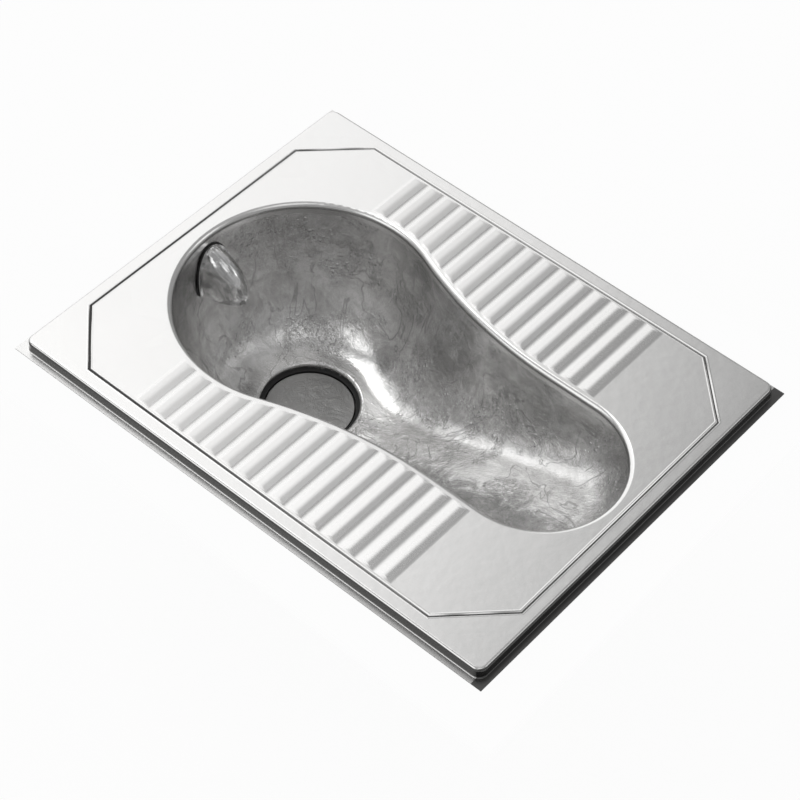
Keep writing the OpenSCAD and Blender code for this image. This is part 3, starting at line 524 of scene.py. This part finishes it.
def supportSteel():
    look = supportLook
    material, board = newMaterial("supportSteel")
    crystals = board.add("ShaderNodeTexVoronoi", {"feature": "F1"}, {
        "Vector": board.place(look["crystals"]), "Scale": 1.0}, output="Color")
    shade = board.add("ShaderNodeSeparateColor", None, {"Color": crystals}, output="Red")
    clouds = board.noise(look["clouds"], detail=4.0)
    colour = board.blend(0.7 * shade + 0.3 * clouds, look["dark"], look["bright"])
    board.close({
        "Base Color": colour, "Metallic": 1.0, "Roughness": look["roughness"] + 0.16 * shade,
        "Normal": board.bump(0.3 * shade + clouds, look["relief"])})
    return material


padLook = {
    "clouds": (60, 60, 60), "fine": (500, 500, 500),
    "dark": 0.028, "light": 0.052, "roughness": 0.62, "relief": 0.00025,
}


def padRubber():
    look = padLook
    material, board = newMaterial("padRubber")
    clouds = board.noise(look["clouds"], detail=4.0)
    fine = board.noise(look["fine"])
    colour = board.blend(clouds, grey(look["dark"]), grey(look["light"], 0.1))
    board.close({
        "Base Color": colour, "Roughness": look["roughness"] + 0.2 * fine,
        "Normal": board.bump(fine, look["relief"])})
    return material


brassLook = {
    "clouds": (120, 120, 120), "fine": (900, 200, 200),
    "tarnished": (0.50, 0.34, 0.13, 1), "bright": (0.76, 0.58, 0.28, 1),
    "roughness": 0.24, "relief": 0.00006,
}


def earthBrass():
    look = brassLook
    material, board = newMaterial("earthBrass")
    clouds = board.noise(look["clouds"], detail=5.0)
    fine = board.noise(look["fine"], detail=2.0)
    colour = board.blend(clouds, look["tarnished"], look["bright"])
    roughness = look["roughness"] + 0.2 * clouds + 0.06 * fine
    board.close({
        "Base Color": colour, "Metallic": 1.0, "Roughness": roughness,
        "Normal": board.bump(fine + clouds, look["relief"])})
    return material


def setDown():
    if bpy.context.object and bpy.context.object.mode != "OBJECT":
        bpy.ops.object.mode_set(mode="OBJECT")
    bpy.ops.object.select_all(action="DESELECT")


def takeUp(piece):
    setDown()
    piece.select_set(True)
    bpy.context.view_layer.objects.active = piece


def openMesh(piece):
    takeUp(piece)
    bpy.ops.object.mode_set(mode="EDIT")
    bpy.ops.mesh.select_mode(type="VERT")


def apply(piece, kind, **settings):
    takeUp(piece)
    bpy.ops.object.modifier_add(type=kind)
    modifier = piece.modifiers[-1]
    for name, value in settings.items():
        setattr(modifier, name, value)
    bpy.ops.object.modifier_apply(modifier=modifier.name)


def smooth(piece, degrees, weighted=True):
    takeUp(piece)
    bpy.ops.object.shade_smooth_by_angle(angle=math.radians(degrees))
    if weighted:
        apply(piece, "WEIGHTED_NORMAL", keep_sharp=True, weight=80)


def cut(piece, tool, operation="DIFFERENCE"):
    apply(piece, "BOOLEAN", operation=operation, object=tool, solver="EXACT")
    bpy.data.objects.remove(tool)


def dress(piece, body, material, slot, *nodes):
    piece.data.materials.clear()
    piece.data.materials.append(material)
    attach(piece, body)
    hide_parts(*nodes)


# a cylinder along X, with its middle on the part's plane of symmetry
def rod(radius, depth, x, z, sides=96):
    setDown()
    bpy.ops.mesh.primitive_cylinder_add(
        vertices=sides, radius=radius, depth=depth, rotation=(0, math.pi / 2, 0), location=(x, 0, z))
    return bpy.context.object


# an open run of points, radius and height, is spun round an upright axis
def turned(name, profile, axis, steps):
    setDown()
    bpy.ops.mesh.primitive_circle_add(vertices=len(profile), radius=0.01)
    piece = bpy.context.object
    piece.name = name
    openMesh(piece)
    mesh = bmesh.from_edit_mesh(piece.data)
    mesh.verts.ensure_lookup_table()
    for vert, (radius, height) in zip(mesh.verts, profile):
        vert.co = (axis[0] + radius, axis[1], height)
    ends = {mesh.verts[0], mesh.verts[len(profile) - 1]}
    mesh.edges.remove(next(edge for edge in mesh.edges if set(edge.verts) == ends))
    bmesh.update_edit_mesh(piece.data)
    bpy.ops.mesh.select_all(action="SELECT")
    bpy.ops.mesh.spin(steps=steps, angle=2 * math.pi, center=(axis[0], axis[1], 0), axis=(0, 0, 1))
    bpy.ops.mesh.select_all(action="SELECT")
    bpy.ops.mesh.remove_doubles(threshold=0.000002)
    bpy.ops.mesh.normals_make_consistent(inside=False)
    setDown()
    return piece


# the turned-down edge of the deck, seen from above, and the hollow where it meets the lip
skirt = {
    "halfLength": 0.290, "halfWidth": 0.225, "corner": 0.010, "lipTop": 0.001, "fillet": 0.0016,
    "beside": 0.00005, "above": 0.00001,  # how far a point may be off the outline and the lip's top
    "weld": 0.000005,
}


def atSkirtFoot(point):
    x = max(0.0, abs(point.x) - skirt["halfLength"] + skirt["corner"])
    y = max(0.0, abs(point.y) - skirt["halfWidth"] + skirt["corner"])
    onOutline = abs(math.hypot(x, y) - skirt["corner"]) < skirt["beside"]
    return onOutline and abs(point.z - skirt["lipTop"]) < skirt["above"]


# the pressed deck keeps the frame's mesh, with its facets welded and shaded as one sheet
def addDeck():
    setDown()
    source = frame["nodes"]["deck_plate"]
    deck = bpy.data.objects.new("deckSheet", source.data.copy())
    bpy.context.scene.collection.objects.link(deck)
    takeUp(deck)
    bpy.ops.mesh.customdata_custom_splitnormals_clear()
    openMesh(deck)
    bpy.ops.mesh.select_all(action="SELECT")
    bpy.ops.mesh.remove_doubles(threshold=skirt["weld"])
    bpy.ops.mesh.select_all(action="DESELECT")
    mesh = bmesh.from_edit_mesh(deck.data)
    for edge in mesh.edges:
        if all(atSkirtFoot(vert.co) for vert in edge.verts):
            edge.select = True
    bmesh.update_edit_mesh(deck.data)
    bpy.ops.mesh.select_mode(type="EDGE")
    bpy.ops.mesh.bevel(offset=skirt["fillet"], segments=4)
    setDown()
    smooth(deck, degrees=40)
    dress(deck, "pan", deckSteel(), "deck_steel", "deck_plate")


# the opening's outline is a wide arc, a waist on each side, two flanks and the heel's arc; the
# sheet hangs a gap outside it, and its wall curves in to a floor that slopes to the drain
bowl = {
    "wideR": 0.133, "wideX": -0.123, "tipR": 0.085, "tipX": 0.175, "waist": (5, 12),
    "gap": 0.00125, "sheet": 0.001,
    "seam": 0.001, "lap": 0.005, "top": 0.013, "depth": 0.154, "heelDepth": 0.062,
    "collar": 0.012, "wideCurve": 0.070, "heelCurve": 0.042,
    "drainX": -0.118, "throatR": 0.0525, "bend": 0.0035, "neck": 0.003,
    "slopeGap": 0.002, "slopeEase": 0.050, "inletHole": 0.0142, "drill": 0.060,
    "wideSteps": 110, "waistSteps": 26, "flankSteps": 10, "tipSteps": 72,
    "wallRings": 26, "floorRings": 16, "bendRings": 8,
}


# points round the opening, each with its outward direction and the width of the wall's curve
def bowlStations():
    wide = Vector((bowl["wideX"], 0))
    tip = Vector((bowl["tipX"], 0))
    drop = bowl["wideR"] - bowl["tipR"]
    run, rise = bowl["waist"]  # a 5, 12, 13 triangle, so the waist touches the wide arc and the flank
    waistX = bowl["wideX"] + run * drop
    waistR = rise * drop - bowl["tipR"]
    touch = math.atan2(rise, run)
    stations = []

    def arc(centre, radius, start, end, steps, side, curveStart, curveEnd):
        for step in range(steps):
            share = step / steps
            angle = start + (end - start) * share
            out = Vector((math.cos(angle), math.sin(angle)))
            eased = share * share * (3 - 2 * share)
            curve = curveStart + (curveEnd - curveStart) * eased
            stations.append((centre + radius * out, side * out, curve))

    def flank(start, end, side):
        for step in range(bowl["flankSteps"]):
            x = start + (end - start) * step / bowl["flankSteps"]
            stations.append((Vector((x, side * bowl["tipR"])), Vector((0, side)), bowl["heelCurve"]))

    wideCurve, heelCurve, waistSteps = bowl["wideCurve"], bowl["heelCurve"], bowl["waistSteps"]
    near = Vector((waistX, -bowl["tipR"] - waistR))
    far = Vector((waistX, bowl["tipR"] + waistR))
    arc(wide, bowl["wideR"], touch, 2 * math.pi - touch, bowl["wideSteps"], 1, wideCurve, wideCurve)
    arc(near, waistR, math.pi - touch, math.pi / 2, waistSteps, -1, wideCurve, heelCurve)
    flank(waistX, bowl["tipX"], -1)
    arc(tip, bowl["tipR"], -math.pi / 2, math.pi / 2, bowl["tipSteps"], 1, heelCurve, heelCurve)
    flank(bowl["tipX"], waistX, 1)
    arc(far, waistR, 1.5 * math.pi, math.pi + touch, waistSteps, -1, heelCurve, wideCurve)
    return stations


# depth of the floor below the deck's top: level round the drain, eased into a slope to the heel
def bowlDepth(x):
    levelR = bowl["throatR"] + bowl["bend"]
    start = bowl["drainX"] + levelR + bowl["slopeGap"]
    heel = bowl["tipX"] + bowl["tipR"] - bowl["heelCurve"]
    ease = bowl["slopeEase"]
    slope = (bowl["depth"] - bowl["heelDepth"]) / (heel - start - ease / 2)
    run = max(0.0, x - start)
    return bowl["depth"] - slope * (run * run / (2 * ease) if run < ease else run - ease / 2)


# rings of points from the lap outside the rim's collar down the wall and floor into the neck
def bowlRings():
    stations = bowlStations()
    levelR = bowl["throatR"] + bowl["bend"]
    floorZ = bowl["top"] - bowl["depth"]

    def wall(station, turn):
        point, out, curve = station
        at = point + out * (bowl["gap"] - curve * (1 - math.cos(turn)))
        return Vector((at.x, at.y, bowl["seam"] - (bowlDepth(at.x) - bowl["collar"]) * math.sin(turn)))

    def toDrain(station):
        foot = wall(station, math.pi / 2)
        return foot, Vector((foot.x - bowl["drainX"], foot.y)).normalized()

    def floor(station, share):
        foot, out = toDrain(station)
        x = foot.x + (bowl["drainX"] + levelR * out.x - foot.x) * share
        y = foot.y + (levelR * out.y - foot.y) * share
        return Vector((x, y, bowl["top"] - bowlDepth(x)))

    def neck(station, radius, z):
        out = toDrain(station)[1]
        return Vector((bowl["drainX"] + radius * out.x, radius * out.y, z))

    rings = [[Vector((*(s[0] + s[1] * bowl["gap"]), bowl["seam"] + bowl["lap"])) for s in stations]]
    for k in range(bowl["wallRings"] + 1):
        rings.append([wall(s, math.pi / 2 * k / bowl["wallRings"]) for s in stations])
    for k in range(1, bowl["floorRings"] + 1):
        rings.append([floor(s, k / bowl["floorRings"]) for s in stations])
    for k in range(1, bowl["bendRings"] + 1):
        turn = math.pi / 2 * k / bowl["bendRings"]
        radius = levelR - bowl["bend"] * math.sin(turn)
        z = floorZ - bowl["bend"] + bowl["bend"] * math.cos(turn)
        rings.append([neck(s, radius, z) for s in stations])
    rings.append([neck(s, bowl["throatR"], floorZ - bowl["bend"] - bowl["neck"]) for s in stations])
    return rings


def addBowl():
    rings = bowlRings()
    setDown()
    bpy.ops.mesh.primitive_circle_add(vertices=len(rings[0]), radius=0.1)
    shell = bpy.context.object
    shell.name = "bowlShell"
    openMesh(shell)
    mesh = bmesh.from_edit_mesh(shell.data)
    station = mesh.verts.layers.int.new("station")
    for number, vert in enumerate(mesh.verts):
        vert[station] = number
        vert.co = rings[0][number]
    for ring in rings[1:]:
        bmesh.update_edit_mesh(shell.data)
        bpy.ops.mesh.extrude_edges_move()
        mesh = bmesh.from_edit_mesh(shell.data)
        station = mesh.verts.layers.int["station"]
        for vert in mesh.verts:
            if vert.select:
                vert.co = ring[vert[station]]
    bmesh.update_edit_mesh(shell.data)
    bpy.ops.mesh.select_all(action="SELECT")
    bpy.ops.mesh.normals_make_consistent(inside=True)
    setDown()
    shell.data.attributes.remove(shell.data.attributes["station"])
    if sum(face.area * face.normal.z for face in shell.data.polygons) < 0:
        shell.data.flip_normals()  # the sheet's thickness grows outwards from its inner face
    for material in (bowlSteel(), drawnSteel()):
        shell.data.materials.append(material)
    apply(shell, "SOLIDIFY", thickness=bowl["sheet"], offset=-1, use_even_offset=True, material_offset=1)
    low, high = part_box("inlet_tail")
    middle, inletZ = low.x + bowl["drill"] / 2, (low.z + high.z) / 2
    cut(shell, rod(bowl["inletHole"], bowl["drill"], middle, inletZ, sides=64))
    smooth(shell, degrees=40, weighted=False)
    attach(shell, "pan")
    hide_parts("bowl_shell")


# chromed hood: half a dome over the inlet, with a flange that follows the bowl's wall
hood = {
    "reach": 0.050, "halfWidth": 0.0235, "height": 0.047, "wall": 0.0016, "flange": 0.0025,
    "start": -0.256, "foot": -0.053, "gasket": 0.002, "back": 0.002, "overlap": 0.001,
    "seatR": 0.016, "seatTop": -0.246, "seatDepth": 0.016, "hole": 0.0133, "drill": 0.040,
    "slab": (-0.264, -0.240), "domeEdge": 0.0005, "flangeEdge": 0.0006,
}


# body that fills the round end of the bowl, drawn in by a margin
def roundEnd(name, margin):
    radius = bowl["wideR"] + bowl["gap"] - margin
    curve = bowl["wideCurve"] - margin
    reach = bowl["depth"] - bowl["collar"] - margin
    steps = 32
    profile = [(0, bowl["seam"])]
    for step in range(steps + 1):
        turn = math.pi / 2 * step / steps
        profile.append((radius - curve * (1 - math.cos(turn)), bowl["seam"] - reach * math.sin(turn)))
    profile.append((0, bowl["seam"] - reach))
    return turned(name, profile, (bowl["wideX"], 0), steps=192)


# rounds the edges that are sharper than the dome's own facets
def roundEdges(piece, width):
    apply(piece, "BEVEL", width=width, segments=3, limit_method="ANGLE", angle_limit=math.radians(50))


# half an arch as a slab that runs through the wall into the bowl
def archSlab(name, halfWidth, height):
    setDown()
    bpy.ops.mesh.primitive_circle_add(vertices=128, radius=1, fill_type="NGON")
    slab = bpy.context.object
    slab.name = name
    openMesh(slab)
    bpy.ops.mesh.select_all(action="SELECT")
    bpy.ops.transform.rotate(value=math.pi / 2, orient_axis="Y", center_override=(0, 0, 0))
    bpy.ops.transform.resize(value=(1, halfWidth, height), center_override=(0, 0, 0))
    start, end = hood["slab"]
    bpy.ops.transform.translate(value=(start, 0, hood["foot"]))
    bpy.ops.mesh.bisect(plane_co=(start, 0, hood["foot"]), plane_no=(0, 0, 1), clear_inner=True)
    bpy.ops.mesh.select_all(action="SELECT")
    bpy.ops.mesh.extrude_region_move(TRANSFORM_OT_translate={"value": (end - start, 0, 0)})
    bpy.ops.mesh.select_all(action="SELECT")
    bpy.ops.mesh.normals_make_consistent(inside=False)
    setDown()
    return slab


def addHood():
    inletZ = sum(corner.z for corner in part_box("inlet_washer")) / 2
    start = Vector((hood["start"], 0, hood["foot"]))
    setDown()
    bpy.ops.mesh.primitive_uv_sphere_add(segments=128, ring_count=64, radius=1)
    dome = bpy.context.object
    dome.name = "spoutHood"
    openMesh(dome)
    bpy.ops.mesh.select_all(action="SELECT")
    size = (hood["reach"], hood["halfWidth"], hood["height"])
    bpy.ops.transform.resize(value=size, center_override=(0, 0, 0))
    bpy.ops.transform.translate(value=start)
    behind = start - Vector((hood["overlap"], 0, 0))
    bpy.ops.mesh.bisect(plane_co=behind, plane_no=(1, 0, 0), clear_inner=True)
    bpy.ops.mesh.select_all(action="SELECT")
    bpy.ops.mesh.bisect(plane_co=start, plane_no=(0, 0, 1), clear_inner=True)
    bpy.ops.mesh.select_all(action="SELECT")
    bpy.ops.mesh.normals_make_consistent(inside=False)
    setDown()
    apply(dome, "SOLIDIFY", thickness=hood["wall"], offset=-1, use_even_offset=True)
    roundEdges(dome, hood["domeEdge"])
    cut(dome, roundEnd("wall", hood["gasket"]), "INTERSECT")
    plate = archSlab("flange", hood["halfWidth"] + hood["flange"], hood["height"] + hood["flange"])
    cut(plate, roundEnd("wall", hood["gasket"]), "INTERSECT")
    cut(plate, roundEnd("inside", hood["gasket"] + hood["back"]))
    roundEdges(plate, hood["flangeEdge"])
    cut(dome, plate, "UNION")
    seat = rod(hood["seatR"], hood["seatDepth"], hood["seatTop"] - hood["seatDepth"] / 2, inletZ)
    cut(seat, roundEnd("wall", hood["gasket"]), "INTERSECT")
    cut(dome, seat, "UNION")
    cut(dome, rod(hood["hole"], hood["drill"], hood["seatTop"], inletZ))
    smooth(dome, degrees=35)
    dress(dome, "pan", hoodChrome(), "hood_chrome", "spout_hood")


# pressed disc: a raised boss inside the seat's hole, a short slope and a flat rim; bossRings and
# footRings round off the slope's two ends, as steps outwards and upwards from them
flap = {
    "thickness": 0.0012, "radius": 0.054, "bossR": 0.0468, "bossHeight": 0.0025, "slope": 0.0012,
    "crownRings": (0, 0.012, 0.0125, 0.030), "edge": 0.0003,
    "bossRings": ((-0.0006, 0), (0.0001, -0.00025)),
    "footRings": ((-0.0002, 0.0004), (0.0001, 0.0001), (0.0004, 0)),
}


def addFlap():
    low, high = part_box("flap_plate")
    axis = ((low.x + high.x) / 2, 0)
    top = low.z + flap["thickness"]
    crown = top + flap["bossHeight"]
    slopeEnd = flap["bossR"] + flap["slope"]
    profile = [(radius, crown) for radius in flap["crownRings"]]
    profile += [(flap["bossR"] + out, crown + up) for out, up in flap["bossRings"]]
    profile += [(slopeEnd + out, top + up) for out, up in flap["footRings"]]
    profile += [
        (flap["radius"] - flap["edge"], top), (flap["radius"], top - flap["edge"]),
        (flap["radius"], low.z + flap["edge"]), (flap["radius"] - flap["edge"], low.z),
        (slopeEnd - flap["thickness"] / 2, low.z),
        (flap["bossR"] - flap["thickness"] / 2, crown - flap["thickness"]),
        (0, crown - flap["thickness"])]
    disc = turned("flapDisc", profile, axis, steps=128)
    smooth(disc, degrees=35)
    dress(disc, "flap", flapSteel(), "flap_steel", "flap_plate")


# the nodes that stay get the finish of their slot
def paintNodes(bySlot, replaced):
    for entry in frame["record"]["subparts"]:
        if entry["node"] not in replaced:
            node = frame["nodes"][entry["node"]]
            node.data.materials.clear()
            node.data.materials.append(bySlot[entry["material_slot"]])


# white board with the floor's cut-out, so that what hangs below the deck shows from the side
stage = {
    "cutOut": (0.584, 0.454), "margin": 0.050, "board": 0.010, "floor": -0.2855, "floorSize": 30,
    "white": 0.92, "glow": 0.95,
}


def stageWhite():
    material, board = newMaterial("stageWhite")
    seen = board.add("ShaderNodeLightPath", output="Is Camera Ray")
    paint = board.add("ShaderNodeBsdfDiffuse", None, {"Color": grey(stage["white"])})
    glow = board.add("ShaderNodeEmission", None, {"Color": (1, 1, 1, 1), "Strength": 1.0})
    mixed = board.add("ShaderNodeMixShader", None, {0: seen * stage["glow"], 1: paint, 2: glow})
    board.add("ShaderNodeOutputMaterial", None, {"Surface": mixed})
    return material


def addStage():
    white = stageWhite()
    setDown()
    bpy.ops.mesh.primitive_plane_add(size=stage["floorSize"], location=(0, 0, stage["floor"]))
    floor = bpy.context.object
    floor.name = "floor"
    setDown()
    bpy.ops.mesh.primitive_plane_add(size=1)
    sheet = bpy.context.object
    sheet.name = "board"
    openMesh(sheet)
    bpy.ops.mesh.select_all(action="SELECT")
    length, width = stage["cutOut"]
    size = (length + 2 * stage["margin"], width + 2 * stage["margin"], 1)
    bpy.ops.transform.resize(value=size, center_override=(0, 0, 0))
    bpy.ops.mesh.inset(thickness=stage["margin"])
    bpy.ops.mesh.delete(type="FACE")
    bpy.ops.mesh.select_all(action="SELECT")
    bpy.ops.mesh.extrude_region_move(TRANSFORM_OT_translate={"value": (0, 0, -stage["board"])})
    setDown()
    for thing in (floor, sheet):
        thing.data.materials.append(white)


# a broad bright side on the left and a dim rest, which metal shows as the photograph's deck
# does, with a lamp on the near side, one high and one low over the +X end, and one above the
# bright side, which lights the streak beside the drain. An edge gives the cosines from a light's
# middle at which it starts and is full
studio = {
    "bright": 1.17, "dim": 0.34, "azimuth": 165, "elevation": 30,
    "edge": (0.742, 0.846), "overhead": 0.10, "overheadFrom": (0.82, 0.92),
    "lamps": (
        {"strength": 0.9, "azimuth": 248, "elevation": 36, "edge": (0.92, 0.955)},
        {"strength": 0.6, "azimuth": 332, "elevation": 63, "edge": (0.945, 0.978)},
        {"strength": 0.9, "azimuth": 40, "elevation": 34, "edge": (0.960, 0.985)},
        {"strength": 1.2, "azimuth": 165, "elevation": 58, "edge": (0.975, 0.991)},
    ),
}


# azimuth from +X towards +Y, and elevation from the floor, both in degrees
def direction(azimuth, elevation):
    turn, rise = math.radians(azimuth), math.radians(elevation)
    return Vector((math.cos(rise) * math.cos(turn), math.cos(rise) * math.sin(turn), math.sin(rise)))


def toward(board, way, azimuth, elevation):
    return board.add("ShaderNodeVectorMath", {"operation": "DOT_PRODUCT"}, {
        0: way, 1: direction(azimuth, elevation)}, output="Value")


def addLight():
    world = bpy.data.worlds.new("studio")
    bpy.context.scene.world = world
    world.use_nodes = True
    board = Board(world.node_tree)
    way = board.add("ShaderNodeTexCoord", output="Generated")
    toSide = toward(board, way, studio["azimuth"], studio["elevation"])
    up = board.add("ShaderNodeSeparateXYZ", None, {"Vector": way}, output="Z")
    side = board.span(toSide, *studio["edge"])
    overhead = board.span(up, *studio["overheadFrom"])
    level = studio["dim"] + (studio["bright"] - studio["dim"]) * side + (
        studio["overhead"] * overhead * (1 - side))
    for lamp in studio["lamps"]:
        toLamp = toward(board, way, lamp["azimuth"], lamp["elevation"])
        level = level + lamp["strength"] * board.span(toLamp, *lamp["edge"])
    background = board.add("ShaderNodeBackground", None, {"Color": (1, 1, 1, 1), "Strength": level})
    board.add("ShaderNodeOutputWorld", None, {"Surface": background})


addCamera()
addLight()
addStage()
print("camera, light and stage are up")
addDeck()
print("deck done")
addBowl()
print("bowl done")
addHood()
addFlap()
print("hood and flap done")
finishes = {
    "black_rubber": blackRubber(), "plated_steel": platedSteel(), "flange_steel": flangeSteel(),
    "housing_plastic": housingPlastic(), "bush_plastic": bushPlastic(), "weight_iron": weightIron(),
    "support_steel": supportSteel(), "pad_rubber": padRubber(), "earth_brass": earthBrass(),
}
paintNodes(finishes, ("deck_plate", "bowl_shell", "spout_hood", "flap_plate"))
bpy.context.scene.view_settings.view_transform = "Standard"
print("materials done")
